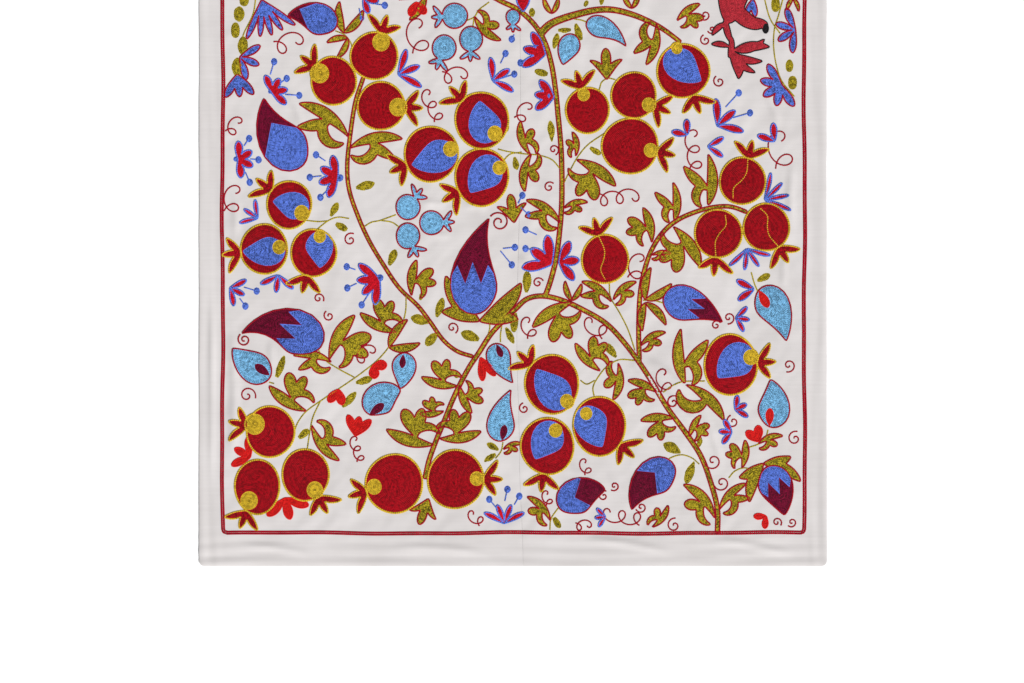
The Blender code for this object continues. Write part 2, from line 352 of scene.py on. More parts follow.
# Where a leaf leaves its stem, its size and turn, and the side that its short lobes are on (1 is the left)
Leaf = namedtuple("Leaf", "kind x y size turn side")
LEAVES = [
    Leaf("sweep", -263, 686, 95, 146, 1),
    Leaf("fork", -270, 853, 52, 74, 1),
    Leaf("fork", -264, 844, 38, 216, 1),
    Leaf("sweep", -262, 668, 86, 10, -1),
    Leaf("half", -62, 880, 58, -42, 1),
    Leaf("fork", -140, 912, 48, 212, 1),
    Leaf("trefoil", 150, 778, 50, 92, 1),
    Leaf("sweep", 229, 868, 68, 256, -1),
    Leaf("half", 30, 660, 62, 260, 1),
    Leaf("half", 28, 658, 56, 106, -1),
    Leaf("half", 100, 655, 40, 98, 1),
    Leaf("hand", 101, 650, 76, -34, -1),
    Leaf("sweep", 76, 548, 66, 146, 1),
    Leaf("half", 81, 572, 40, 14, -1),
    Leaf("trefoil", 2, 549, 46, 98, 1),
    Leaf("hand", 222, 517, 58, 104, 1),
    Leaf("horns", 258, 552, 62, 104, 1),
    Leaf("horns", 312, 577, 82, 102, 1),
    Leaf("hand", 256, 543, 78, -56, -1),
    Leaf("half", 222, 497, 31, 4, -1),
    Leaf("fork", 212, 426, 54, 56, 1),
    Leaf("fork", 212, 421, 50, -72, 1),
    Leaf("half", 204, 352, 46, 28, -1),
    Leaf("sweep", 158, 422, 58, 146, 1),
    Leaf("half", 160, 425, 48, 38, -1),
    Leaf("fork", 94, 425, 34, 84, 1),
    Leaf("hand", 96, 422, 76, 212, 1),
    Leaf("hand", 140, 312, 60, 132, -1),
    Leaf("half", 168, 325, 60, 262, -1),
    Leaf("hand", 230, 278, 50, 158, 1),
    Leaf("hand", 258, 236, 54, 184, 1),
    Leaf("horns", 275, 292, 88, 82, -1),
    Leaf("hook", 276, 290, 83, -43, -1),
    Leaf("hand", 282, 206, 40, 62, -1),
    Leaf("hand", -294, 330, 82, 60, -1),
    Leaf("sweep", -290, 326, 62, 170, 1),
    Leaf("hand", -330, 248, 72, 146, -1),
    Leaf("sweep", -322, 226, 72, -52, 1),
    Leaf("hand", -186, 374, 66, 152, -1),
    Leaf("fork", -198, 350, 55, 32, 1),
    Leaf("hand", -162, 432, 58, 82, -1),
    Leaf("hand", -88, 288, 60, 166, -1),
    Leaf("hand", -86, 290, 50, -66, 1),
    Leaf("hand", -110, 248, 40, 186, -1),
    Leaf("hand", -126, 194, 80, 162, -1),
    Leaf("hand", -118, 204, 68, 10, 1),
    Leaf("trefoil", -135, 108, 44, 250, 1),
    Leaf("half", -16, 186, 32, 18, -1),
    Leaf("half", 60, 72, 54, 134, 1),
    Leaf("half", 222, 62, 44, 54, 1),
    Leaf("half", 323, 76, 74, 133, 1),
    Leaf("sweep", 330, 90, 60, 44, -1),
    Leaf("hand", 366, 156, 46, 84, 1),
    Leaf("half", 392, 195, 42, 18, -1),
    Leaf("hand", 262, 872, 46, 36, -1),
    Leaf("fork", 62, 884, 30, 92, 1),
    Leaf("fork", 190, 892, 30, 92, 1),
    Leaf("fork", 448, 908, 24, 268, 1),
]
# Plain drop-shaped leaves: the stem end, turn, length and width
Drop = namedtuple("Drop", "x y turn length width")
DROPS = [
    Drop(-294, 556, 62, 30, 13),
    Drop(-289, 551, -28, 30, 13),
    Drop(-256, 604, 14, 37, 16),
    Drop(-200, 477, 68, 33, 15),
    Drop(-124, 394, 72, 38, 15),
    Drop(-130, 388, 164, 36, 18),
    Drop(-118, 375, 226, 32, 17),
    Drop(-50, 360, 158, 37, 18),
    Drop(-151, 422, 66, 18, 9),
    Drop(-82, 303, 174, 14, 8),
    Drop(-13, 386, -64, 34, 12),
    Drop(5, 410, 264, 38, 14),
    Drop(168, 330, 130, 35, 14),
    Drop(21, 432, 88, 42, 16),
    Drop(2, 658, 281, 26, 12),
    Drop(118, 673, -32, 29, 11),
    Drop(62, 676, 94, 38, 13),
    Drop(62, 784, 164, 31, 13),
    Drop(64, 824, 76, 30, 12),
    Drop(66, 857, 2, 29, 10),
    Drop(99, 872, -72, 35, 13),
    Drop(-382, 293, 70, 48, 13),
    Drop(-256, 292, 16, 34, 14),
    Drop(-276, 251, 48, 38, 14),
    Drop(-348, 201, 40, 30, 13),
    Drop(-20, 184, 152, 26, 12),
    Drop(-22, 182, 212, 29, 11),
    Drop(63, 83, -60, 27, 12),
    Drop(270, 180, 152, 34, 19),
    Drop(291, 170, 250, 42, 16),
    Drop(296, 187, 80, 22, 10),
    Drop(387, 455, 26, 28, 13),
    Drop(-10, 690, 96, 22, 11),
    Drop(30, 874, 90, 20, 12),
    Drop(112, 892, 60, 16, 9),
    Drop(140, 895, 80, 16, 9),
]
# Garland beads: middle, and size
Bead = namedtuple("Bead", "x y width height")
BEADS = [
    Bead(-430, 906, 17, 24),
    Bead(-438, 883, 19, 26),
    Bead(-444, 857, 16, 27),
    Bead(-432, 832, 18, 32),
    Bead(-441, 798, 19, 32),
    Bead(420, 898, 16, 26),
    Bead(442, 800, 14, 22),
    Bead(447, 773, 16, 24),
]

# Flowers: where the lobes meet, length of a lobe, turn of the middle one, angle over which they fan out, and
# how many they are and how wide
Flower = namedtuple("Flower", "x y size turn fan lobes width")
RED_FLOWERS = [
    Flower(-386, 757, 30, 36, 150, 4, 11),
    Flower(-440, 650, 30, 4, 170, 4, 12),
    Flower(-280, 622, 36, 174, 142, 4, 13),
    Flower(-240, 908, 26, -40, 60, 2, 10),
    Flower(-184, 786, 43, 22, 100, 3, 10),
    Flower(-33, 776, 38, 34, 122, 3, 10),
    Flower(52, 818, 42, 164, 86, 3, 14),
    Flower(66, 750, 36, 172, 84, 3, 13),
    Flower(-213, 459, 42, 202, 116, 4, 13),
    Flower(62, 482, 48, 142, 88, 3, 16),
    Flower(73, 486, 38, 6, 112, 3, 14),
    Flower(-408, 556, 31, 146, 96, 3, 6),
    Flower(-375, 466, 33, 262, 110, 3, 8),
    Flower(-453, 445, 30, -26, 104, 3, 8),
    Flower(326, 704, 44, 40, 104, 3, 11),
    Flower(279, 689, 26, 130, 76, 2, 10),
    Flower(419, 679, 30, 128, 66, 2, 10),
    Flower(311, 671, 30, -2, 64, 2, 8),
    Flower(16, 886, 30, 90, 30, 2, 11),
    Flower(402, 585, 46, 28, 98, 4, 6),
    Flower(374, 508, 40, 284, 120, 4, 6),
    Flower(386, 443, 32, 184, 62, 2, 10),
    Flower(356, 397, 26, -8, 104, 3, 7),
    Flower(355, 250, 24, 26, 110, 3, 8),
    Flower(350, 214, 24, 176, 110, 3, 8),
    Flower(-14, 68, 37, 90, 124, 4, 8),
    Flower(148, 79, 20, 186, 100, 3, 6),
]
PLAIN_FLOWERS = [
    Flower(-155, 902, 24, 278, 66, 2, 13),
    Flower(-420, 174, 33, 150, 108, 3, 11),
    Flower(-365, 109, 40, 284, 118, 3, 14),
    Flower(-279, 283, 26, 258, 54, 2, 13),
    Flower(-224, 322, 22, 318, 84, 2, 15),
    Flower(-52, 334, 38, 292, 34, 2, 11),
    Flower(-252, 208, 36, 78, 64, 3, 12),
    Flower(393, 199, 26, 116, 50, 2, 13),
    Flower(405, 80, 20, 222, 84, 2, 9),
]
BLUE_FLOWERS = [
    Flower(-402, 906, 68, 286, 74, 5, 9),
    Flower(-437, 814, 38, -22, 104, 3, 11),
    Flower(-441, 787, 42, 276, 66, 3, 12),
    Flower(452, 858, 38, 188, 150, 4, 11),
    Flower(430, 770, 40, 212, 176, 5, 13),
    Flower(384, 908, 30, 262, 30, 2, 9),
]
# Berries: their place, and where their stalk starts
Berry = namedtuple("Berry", "x y root_x root_y")
BERRIES = [
    Berry(-382, 807, -388, 786), Berry(-362, 780, -373, 772), Berry(-342, 753, -364, 754),
    Berry(-422, 684, -430, 672), Berry(-407, 650, -420, 651), Berry(-421, 614, -428, 630),
    Berry(-315, 658, -300, 648), Berry(-325, 622, -306, 624), Berry(-308, 590, -293, 605),
    Berry(-243, 877, -246, 892), Berry(-205, 897, -220, 899), Berry(-12, 820, -20, 804),
    Berry(2, 787, -18, 780), Berry(-2, 843, 2, 850), Berry(12, 805, 26, 814),
    Berry(-266, 479, -252, 474), Berry(-265, 445, -250, 452), Berry(-242, 418, -230, 436),
    Berry(20, 538, 38, 530), Berry(20, 508, 34, 506), Berry(3, 510, -16, 508),
    Berry(-2, 482, -20, 504), Berry(25, 562, 12, 574), Berry(15, 593, 8, 580),
    Berry(-410, 440, -430, 446), Berry(-428, 416, -437, 428), Berry(361, 757, 340, 734),
    Berry(379, 725, 352, 717), Berry(-38, 107, -24, 90), Berry(-9, 123, -13, 104),
    Berry(10, 112, 2, 98),
]
BERRY_RADIUS = 6.0
# Discs at the foot of some flowers
Disc = namedtuple("Disc", "x y radius")
DISCS = [
    Disc(-388, 759, 4.5),
    Disc(-443, 651, 5),
    Disc(-277, 621, 6.5),
    Disc(-213, 461, 6.5),
    Disc(37, 832, 5),
    Disc(57, 752, 5.5),
]

# Tendrils: loops run along a line of the given length, spirals wind up to the given radius
Tendril = namedtuple("Tendril", "x y size turn loops")
TENDRILS = [
    Tendril(-360, 838, 44, 28, 1),
    Tendril(-447, 704, 30, 62, 1),
    Tendril(-154, 846, 52, 106, 1),
    Tendril(-94, 786, 38, 16, 1),
    Tendril(-130, 735, 52, 118, 2),
    Tendril(16, 726, 32, 62, 1),
    Tendril(-450, 586, 42, 86, 1),
    Tendril(168, 590, 62, 8, 2),
    Tendril(196, 478, 40, 82, 1),
    Tendril(288, 664, 62, 98, 2),
    Tendril(426, 664, 56, 108, 1),
    Tendril(-238, 340, 34, 42, 1),
    Tendril(24, 380, 32, 118, 1),
    Tendril(132, 380, 38, 152, 1),
    Tendril(240, 296, 34, 112, 1),
    Tendril(-250, 186, 40, 110, 2),
    Tendril(-60, 76, 26, 148, 1),
    Tendril(115, 158, 24, 120, 1),
    Tendril(54, 108, 22, 118, 1),
    Tendril(176, 78, 60, 172, 2),
    Tendril(112, 66, 24, 16, 1),
]
Spiral = namedtuple("Spiral", "x y radius turn")
SPIRALS = [
    Spiral(307, 881, 9, 200), Spiral(318, 858, 7, 200), Spiral(308, 841, 9, 110),
    Spiral(330, 775, 10, 120), Spiral(-260, 522, 11, 60), Spiral(65, 666, 9, 290),
    Spiral(58, 606, 9, 40), Spiral(40, 453, 9, 20), Spiral(-311, 428, 9, 330),
    Spiral(-294, 400, 9, 120), Spiral(-425, 273, 14, 340), Spiral(-97, 381, 10, 300),
    Spiral(18, 252, 9, 100), Spiral(256, 262, 11, 60), Spiral(325, 385, 8, 30),
    Spiral(345, 397, 10, 260), Spiral(441, 321, 11, 250), Spiral(352, 231, 11, 110),
    Spiral(145, 112, 9, 60), Spiral(162, 128, 8, 230), Spiral(205, 94, 9, 200),
    Spiral(258, 65, 12, 80), Spiral(320, 168, 14, 190), Spiral(334, 133, 13, 200),
    Spiral(451, 204, 12, 70), Spiral(422, 70, 8, 320), Spiral(446, 70, 8, 220),
]

# The beast: each part is a lobe, from its root along its turn
BeastPart = namedtuple("BeastPart", "x y turn length width bend peak roundness")
BEAST_PARTS = [
    # The body, and the thigh and shin of the hind leg
    BeastPart(344, 868, 84, 150, 54, 12, 0.5, 0.5),
    BeastPart(352, 900, -38, 62, 24, 60, 0.4, 0.4),
    BeastPart(366, 872, -10, 42, 16, -8, 0.6, 0.4),
    # The forelegs
    BeastPart(352, 990, 8, 58, 18, -26, 0.5, 0.45),
    BeastPart(350, 968, -8, 60, 18, 22, 0.5, 0.45),
    # The neck, head and horns
    BeastPart(352, 985, 72, 66, 26, -30, 0.4, 0.5),
    BeastPart(368, 1036, 14, 36, 20, -10, 0.45, 0.5),
    BeastPart(372, 1044, 108, 30, 7, 50, 0.4, 0.7),
    BeastPart(378, 1044, 92, 28, 7, 44, 0.4, 0.7),
    # The tail
    BeastPart(340, 878, 284, 44, 10, 30, 0.5, 0.6),
    BeastPart(350, 846, 262, 34, 9, -24, 0.5, 0.6),
    # The tufts round the tail
    BeastPart(350, 826, 18, 58, 12, 60, 0.5, 0.8),
    BeastPart(352, 824, 6, 60, 15, -30, 0.5, 0.8),
    BeastPart(350, 820, -14, 52, 12, 40, 0.5, 0.8),
    BeastPart(348, 818, -36, 50, 11, 30, 0.5, 0.8),
    BeastPart(345, 826, -72, 52, 18, -60, 0.5, 0.8),
    BeastPart(346, 830, 172, 30, 9, 40, 0.5, 0.8),
    BeastPart(342, 868, 220, 32, 9, 50, 0.5, 0.8),
]
Hoof = namedtuple("Hoof", "x y")
HOOFS = [Hoof(404, 860), Hoof(406, 972), Hoof(407, 998)]
HOOF_WIDTH, HOOF_HEIGHT = 9, 16

# The border: where its line runs and how far it strays, in millimetres
BORDER_LEFT, BORDER_RIGHT = -464.5, 466.0
BORDER_FOOT, BORDER_TOP = 53.0, 1447.0
BORDER_CORNER = 6.0
CORNER_CUT = 1.5  # how far a corner's middle lies in from both its sides
BORDER_STRAY = 1.6
BORDER_ROW = 1.7  # how far each of its two rows lies from its line
BORDER_WIDTH = 4.0

# How far each kind of stitching stands over what it crosses, in millimetres
LAYER_LIFTS = {
    "vine_stitching": 0.0,
    "border_stitching": 0.1,
    "tendril_stitching": 0.1,
    "leaf_stitching": 0.15,
    "garland_stitching": 0.2,
    "flower_stitching": 0.25,
    "fruit_stitching": 0.45,
    "bud_stitching": 0.45,
    "beast_stitching": 0.45,
}

# The hidden upper part turns the lower design round. The copies start at this height, and keep off the side
# garlands and the beast.
TOP_START = 918
TOP_HALF_WIDTH = 392
BEAST_LEFT, BEAST_TOP = 300, 1085
# Its garlands: where they start, how far it is from one repeat to the next, and how many there are
GARLAND_FOOT = 928
GARLAND_STEP = 118
GARLAND_ROWS = 4
# One repeat as it is on the right, with y from the repeat's foot
GARLAND_FLOWER = Flower(440, 52, 40, 180, 110, 4, 11)
GARLAND_BEADS = [Bead(436, 66, 15, 19), Bead(442, 87, 15, 19), Bead(436, 108, 15, 19)]
GARLAND_STALK = [(428, -14), (438, 40), (430, 100)]


def smooth_step(value):
    """Eases from 0 to 1 as value goes from 0 to 1."""
    value = np.clip(value, 0.0, 1.0)
    return value * value * (3.0 - 2.0 * value)


def points_of(rows):
    """Rows of numbers as an array of points."""
    return np.array(rows, float).reshape(-1, 2)


def heading(degrees):
    """Unit vector along a turn in degrees."""
    return np.array((math.cos(math.radians(degrees)), math.sin(math.radians(degrees))))


# The cloth's form

def seam_offset(y):
    """The seam's place right of the middle at heights y, eased from one SEAM row to the next."""
    heights = np.array([point.height for point in SEAM])
    offsets = np.array([point.offset for point in SEAM])
    row = np.clip(np.searchsorted(heights, y) - 1, 0, len(SEAM) - 2)
    share = smooth_step((y - heights[row]) / (heights[row + 1] - heights[row]))
    return offsets[row] + (offsets[row + 1] - offsets[row]) * share


def edge_wave(along):
    """How far an outer edge is drawn in at a distance along it."""
    turn = math.tau * along / EDGE_WAVE_LENGTH
    return EDGE_WAVE * (0.5 + 0.3 * np.sin(turn) + 0.2 * np.sin(2.7 * turn + 1.0))


def crease_lift(x, y):
    """Height that the creases lift the cloth by, at places in metres."""
    height = np.zeros_like(x)
    for crease in CREASES:
        start = np.array((crease.x0, crease.y0)) * MM
        run = np.array((crease.x1, crease.y1)) * MM - start
        length = float(np.linalg.norm(run))
        along_x, along_y = run / length
        share = ((x - start[0]) * along_x + (y - start[1]) * along_y) / length
        across = (y - start[1]) * along_x - (x - start[0]) * along_y
        across = across - crease.bow * MM * 4.0 * share * (1.0 - share)
        fade = smooth_step(share / CREASE_TIP) * smooth_step((1.0 - share) / CREASE_TIP)
        half = crease.width * MM / 2.0
        rise = 0.5 + 0.5 * np.cos(math.pi * np.clip(np.abs(across) / half, 0.0, 1.0))
        height = np.maximum(height, crease.height * MM * fade * rise)
    rim_fade = smooth_step(np.minimum(y, LENGTH - y) / HEM_WIDTH)
    return height * rim_fade


def slack(x, y):
    """Soft unevenness of the silk, in metres: streaks in the margins, and faint hollows inside them."""
    side = smooth_step((np.abs(x) - SIDE_MARGIN) / MARGIN_BLUR)
    foot = smooth_step((FOOT_MARGIN - np.minimum(y, LENGTH - y)) / MARGIN_BLUR)
    upright = np.sin(x * 290.0 + 2.2 * np.sin(y * 9.0)) * np.sin(y * 13.0 + 1.0)
    level = np.sin(y * 280.0 + 2.6 * np.sin(x * 8.0 + 0.5)) * np.sin(x * 11.0 + 0.4)
    inner = np.sin(x * 96.0 + 1.9 * np.sin(y * 41.0)) * np.sin(y * 83.0 + 1.7 * np.sin(x * 37.0 + 2.0))
    fine = np.sin(x * 190.0 + 1.6 * np.sin(y * 70.0)) * np.sin(y * 171.0 + 1.4 * np.sin(x * 80.0))
    streaks = SIDE_STREAK * side * (1.0 + upright) + FOOT_STREAK * foot * (1.0 + level)
    hollows = HOLLOW * (1.0 + inner) + FINE_HOLLOW * (1.0 + fine)
    return streaks + (1.0 - side) * (1.0 - foot) * hollows


def silk_top(x, y):
    """Height of the silk's face, at places in metres with y from the lower hem."""
    from_rim = np.minimum(np.minimum(y, LENGTH - y), WIDTH / 2.0 - np.abs(x))
    hem = HEM_STEP * smooth_step((HEM_WIDTH - from_rim) / (0.12 * HEM_WIDTH) + 0.5)
    roll = SILK_THICKNESS * 0.5 * smooth_step((EDGE_ROLL - from_rim) / EDGE_ROLL)
    at_seam = SEAM_DIP * smooth_step(1.0 - np.abs(x - seam_offset(y)) / SEAM_REACH)
    return SILK_THICKNESS + FLOOR_GAP + crease_lift(x, y) + slack(x, y) + hem - roll - at_seam


def panel_point(side, across, y):
    """Places on the surface of a panel's points: across is 0 at the outer edge and 1 at the seam."""
    seam = seam_offset(y) + side * SEAM_GAP / 2.0
    from_edge = across * (WIDTH / 2.0 - side * seam)
    from_end = np.minimum(y, LENGTH - y)
    a, b = CORNER_RADIUS - from_edge, CORNER_RADIUS - from_end
    inside = (a > 0.0) & (b > 0.0)
    pull = np.where(inside, np.maximum(a, b) / np.maximum(np.hypot(a, b), 1e-9), 1.0)
    from_edge = np.where(inside, CORNER_RADIUS - a * pull, from_edge)
    from_end = np.where(inside, CORNER_RADIUS - b * pull, from_end)
    y = np.where(y < LENGTH / 2.0, from_end, LENGTH - from_end)
    inward = 1.0 - smooth_step(from_edge / (3.0 * HEM_WIDTH))
    x = side * (WIDTH / 2.0 - from_edge - edge_wave(y) * inward * np.sin(math.pi * y / LENGTH))
    return x, y


def silk_lines(length):
    """Even grid lines over a length, with one more close to each end so that the edge is crisp."""
    even = np.linspace(0.0, length, int(round(length / SILK_CELL)) + 1)
    return np.insert(even, [1, len(even) - 1], [EDGE_CELL, length - EDGE_CELL])


def make_panel(name, side, finish):
    """One loom width of silk as a thin sheet, lying on its solid's folds."""
    lines_across = silk_lines(WIDTH / 2.0)
    lines_up = silk_lines(LENGTH)
    columns, rows = len(lines_across) - 1, len(lines_up) - 1
    across, up = np.meshgrid(lines_across / (WIDTH / 2.0), lines_up)
    x, y = panel_point(side, across.ravel(), up.ravel())
    places = np.column_stack((x, y - LENGTH / 2.0, silk_top(x, y)))
    corner = (np.arange(rows)[:, None] * (columns + 1) + np.arange(columns)).ravel()
    faces = np.column_stack((corner, corner + 1, corner + columns + 2, corner + columns + 1))
    if side > 0:
        faces = faces[:, ::-1]
    mesh = bpy.data.meshes.new(name)
    mesh.from_pydata(places.tolist(), [], faces.tolist())
    mesh.materials.append(finish)
    mesh.shade_smooth()
    panel = bpy.data.objects.new(name, mesh)
    bpy.context.scene.collection.objects.link(panel)
    solidify = panel.modifiers.new("silk thickness", "SOLIDIFY")
    solidify.thickness = SILK_THICKNESS
    solidify.offset = -1.0
    return panel


# Shapes on the cloth, as outlines in millimetres

def lobe_sides(x, y, turn, length, width, bend, peak, roundness, steps=LOBE_STEPS):
    """Left and right side of a lobe from a point. Its tip lies along turn, however much it bends."""
    share = (1.0 - np.cos(np.linspace(0.0, math.pi, steps + 1))) / 2.0
    middle = np.radians(turn + bend * ((share[1:] + share[:-1]) / 2.0 - 0.5))
    step = np.diff(share) * length
    ahead = np.column_stack((np.cos(middle), np.sin(middle))) * step[:, None]
    line = np.vstack(((0.0, 0.0), np.cumsum(ahead, 0)))
    angle = np.radians(turn + bend * (share - 0.5))
    power = math.log(0.5) / math.log(peak)
    half = width / 2.0 * np.sin(math.pi * np.clip(share, 1e-6, 1.0) ** power).clip(0.0) ** roundness
    normal = np.column_stack((-np.sin(angle), np.cos(angle))) * half[:, None]
    line = line + (x, y)
    return line + normal, line - normal


def lobe_outline(*lobe):
    """A lobe's closed outline."""
    left, right = lobe_sides(*lobe)
    return np.vstack((left, right[-2:0:-1]))


def oval(x, y, width, height, steps=40, lumps=0.0):
    """An oval's outline, with slight lumps as hand-drawn ones have."""
    angle = np.linspace(0.0, math.tau, steps, endpoint=False)
    swell = 1.0 + lumps * np.sin(3.0 * angle + x) + 0.6 * lumps * np.sin(2.0 * angle + y)
    across, up = width / 2.0 * swell * np.cos(angle), height / 2.0 * swell * np.sin(angle)
    return np.column_stack((x + across, y + up))


def smooth_line(points, spacing):
    """A smooth curve through given points, with points an even distance apart."""
    points = points_of(points)
    if len(points) > 2:
        ends = (2.0 * points[0] - points[1], 2.0 * points[-1] - points[-2])
        p = np.vstack((ends[0], points, ends[1]))
        t = np.linspace(0.0, 1.0, CURVE_STEPS, endpoint=False)[:, None]
        curve = [
            0.5 * (2.0 * b + (c - a) * t + (2.0 * a - 5.0 * b + 4.0 * c - d) * t**2
                   + (3.0 * b - a - 3.0 * c + d) * t**3)
            for a, b, c, d in zip(p[:-3], p[1:-2], p[2:-1], p[3:])
        ]
        points = np.vstack(curve + [points[-1:]])
    return even_line(points, spacing)


def even_line(points, spacing):
    """The same line with points an even distance apart."""
    run = np.concatenate(((0.0,), np.cumsum(np.linalg.norm(np.diff(points, axis=0), axis=1))))
    count = max(2, int(round(run[-1] / spacing)) + 1)
    at = np.linspace(0.0, run[-1], count)
    return np.column_stack((np.interp(at, run, points[:, 0]), np.interp(at, run, points[:, 1])))


def line_normals(line):
    """Unit normals on the left of a line."""
    ahead = np.gradient(line, axis=0)
    ahead /= np.maximum(np.linalg.norm(ahead, axis=1), 1e-9)[:, None]
    return np.column_stack((-ahead[:, 1], ahead[:, 0]))


def tendril_line(tendril):
    """A line with one or two loops in it."""
    last = math.tau * (tendril.loops - 1) + 2.35 * math.pi
    angle = np.linspace(-0.85 * math.pi, last, 34 * tendril.loops)
    along = 0.36 * angle - 1.0 * np.sin(angle)
    across = -0.95 * np.cos(angle)
    shape = np.column_stack((along - along.mean(), across))
    shape *= tendril.size / float(np.ptp(shape[:, 0]))
    ahead = heading(tendril.turn)
    return shape[:, :1] * ahead + shape[:, 1:] * (-ahead[1], ahead[0]) + (tendril.x, tendril.y)


def curl_line(start, turn, radius):
    """A line that leaves a point along turn and winds in, to the left, or right for a negative radius."""
    share = np.linspace(0.0, 1.0, 46)
    turns = np.radians(turn + math.copysign(CURL_SWEEP, radius) * share)
    step = abs(radius) * (1.0 - 0.86 * share) * math.radians(CURL_SWEEP) / len(share)
    return start + np.cumsum(np.column_stack((np.cos(turns), np.sin(turns))) * step[:, None], axis=0)


def spiral_line(spiral):
    """A line that winds in to its middle."""
    share = np.linspace(1.0, 0.10, 44)
    angle = math.radians(spiral.turn) + (1.0 - share) * math.radians(SPIRAL_SWEEP)
    radius = spiral.radius * share
    return np.column_stack((spiral.x + radius * np.cos(angle), spiral.y + radius * np.sin(angle)))


# Motifs: patches are filled outlines, a later one over an earlier one, and lines are rows of stitches

Motif = namedtuple("Motif", "piece patches rim rim_width lines")
Patch = namedtuple("Patch", "outline thread")
Line = namedtuple("Line", "points thread width")


def crown_patches(fruit, thread, scale):
    """The three lobes on a pomegranate's end."""
    ahead = heading(fruit.crown)
    reach = np.hypot(fruit.width / 2.0 * ahead[0], fruit.height / 2.0 * ahead[1]) - 1.0
    root = ahead * reach + (fruit.x, fruit.y)
    offsets = (-CROWN_SPREAD, 0, CROWN_SPREAD)
    uneven = CROWN_SHARES[int(fruit.x) % 2]
    return [
        Patch(
            lobe_outline(*root, fruit.crown + offset, CROWN_LENGTH * scale * share, CROWN_WIDTH * scale,
                         offset * 0.5, 0.5, 0.72),
            thread,
        )
        for offset, share in zip(offsets, uneven)
    ]


def fruit_motifs(fruit):
    """A pomegranate and its crown, with a yellow eye and at times a blue seed, or with a yellow split."""
    body = Patch(oval(fruit.x, fruit.y, fruit.width, fruit.height, 44, FRUIT_LUMPS), "crimson")
    patches, lines = [body], []
    centre = points_of([(fruit.x, fruit.y)])[0]
    if fruit.seed:
        seed, eye = points_of([fruit.seed, fruit.eye])
        middle = eye * 0.5 + centre * 0.5
        radius = SEED_RADIUS * (fruit.width + fruit.height) / 2.0
        run = middle - seed
        reach = float(np.hypot(*run)) + radius
        turn = math.degrees(math.atan2(run[1], run[0]))
        bend = SEED_BEND if int(fruit.y) % 2 else -SEED_BEND
        outline = lobe_outline(*seed, turn, reach, 2.1 * radius, bend, 0.62, 0.52)
        patches.append(Patch(outline, "cornflower"))
    if fruit.eye:
        size = 2.0 * fruit.eye_radius
        patches.append(Patch(oval(*fruit.eye, size, size * 1.06, 22), "yellow"))
    else:
        ahead = heading(fruit.crown)
        aside = np.array((-ahead[1], ahead[0]))
        half = fruit.height / 2.0 - 2.0
        split = [centre + ahead * half, centre + ahead * half * 0.4 - aside * 3.0, centre + aside * 2.0,
                 centre - ahead * half * 0.4 + aside * 11.0, centre - ahead * half * 0.86 + aside * 8.0]
        lines.append(Line(smooth_line(split, HALF_STITCH), "yellow", SPLIT_WIDTH))
    crown = Motif("fruit_stitching", crown_patches(fruit, "crimson", 1.0), "yellow", CROWN_RIM, [])
    return [Motif("fruit_stitching", patches, "yellow", FRUIT_RIM, lines), crown]


def small_fruit_motif(fruit):
    """A small sky-blue pomegranate."""
    scale = SMALL_CROWN * (fruit.width + 20.0) / 60.0
    body = Patch(oval(fruit.x, fruit.y, fruit.width, fruit.height, 34, FRUIT_LUMPS), "sky")
    patches = [body] + crown_patches(fruit, "sky", scale)
    return Motif("fruit_stitching", patches, "rim_crimson", RIM_WIDTH, [])


def aimed_lobe(tip, centre, radius, bend):
    """Turn and length of a bent lobe from a tip whose round end, of a given radius, lies round a centre."""
    run = centre - tip
    distance = float(np.hypot(*run))
    sweep = math.radians(bend)
    length = distance + radius
    for _ in range(6):
        share = 1.0 - radius / length
        length += distance - 2.0 * length / sweep * math.sin(share * sweep / 2.0)
    return math.degrees(math.atan2(run[1], run[0])) + bend / 2.0 * (1.0 - share), length


def bud_motifs(bud):
    """A curved drop with its cap, seed and curl, after its calyx, as far as it has them."""
    tip = points_of([(bud.tip_x, bud.tip_y)])[0]
    turn, reach = aimed_lobe(tip, points_of([(bud.x, bud.y)])[0], bud.radius, bud.bend)
    peak = float(np.clip((reach - bud.radius * 1.1) / reach, 0.45, 0.72))
    shape = (*tip, turn, reach, 2.0 * bud.radius, bud.bend, peak, 0.52)
    left, right = lobe_sides(*shape)
    patches = [Patch(np.vstack((left, right[-2:0:-1])), bud.body)]
    if bud.cap:
        cut = int(round(math.acos(1.0 - 2.0 * bud.cap_share) / math.pi * (len(left) - 1)))
        ahead = heading(turn + bud.bend * (bud.cap_share - 0.5))
        a, b = left[cut], right[cut]
        turns = [
            a * (1.0 - share) + b * share + ahead * bud.radius * lean
            for share, lean in CAP_ENDS[bud.cap_end]
        ]
        patches.append(Patch(np.vstack((left[:cut + 1], turns, right[cut:0:-1])), bud.cap))
    if bud.seed:
        root = tip + heading(turn) * (reach - 3.0)
        outline = lobe_outline(*root, turn + 180, bud.radius * 1.15, bud.radius * 0.55, 0, 0.6, 0.55)
        patches.append(Patch(outline, bud.seed))
    lines = []
    if bud.curl:
        outward = turn - bud.bend / 2.0 + 180.0
        lines.append(Line(curl_line(tip, outward, bud.curl), "rim_crimson", LINE_WIDTH))
    made = [Motif("bud_stitching", patches, "rim_crimson", RIM_WIDTH, lines)]
    if bud.calyx:
        foot = tip + heading(turn) * (reach + CALYX_DROP)
        outlines = [
            lobe_outline(*foot, turn + 180.0 + side * lobe.turn, bud.radius * lobe.length,
                         bud.radius * lobe.width, -side * lobe.bend, 0.5, 0.75)
            for side in (-1.0, 1.0)
            for lobe in CALYX_LOBES
        ]
        calyx = [Patch(outline, "olive") for outline in outlines]
        made.insert(0, Motif("leaf_stitching", calyx, "rim_crimson", RIM_WIDTH, []))
    return made


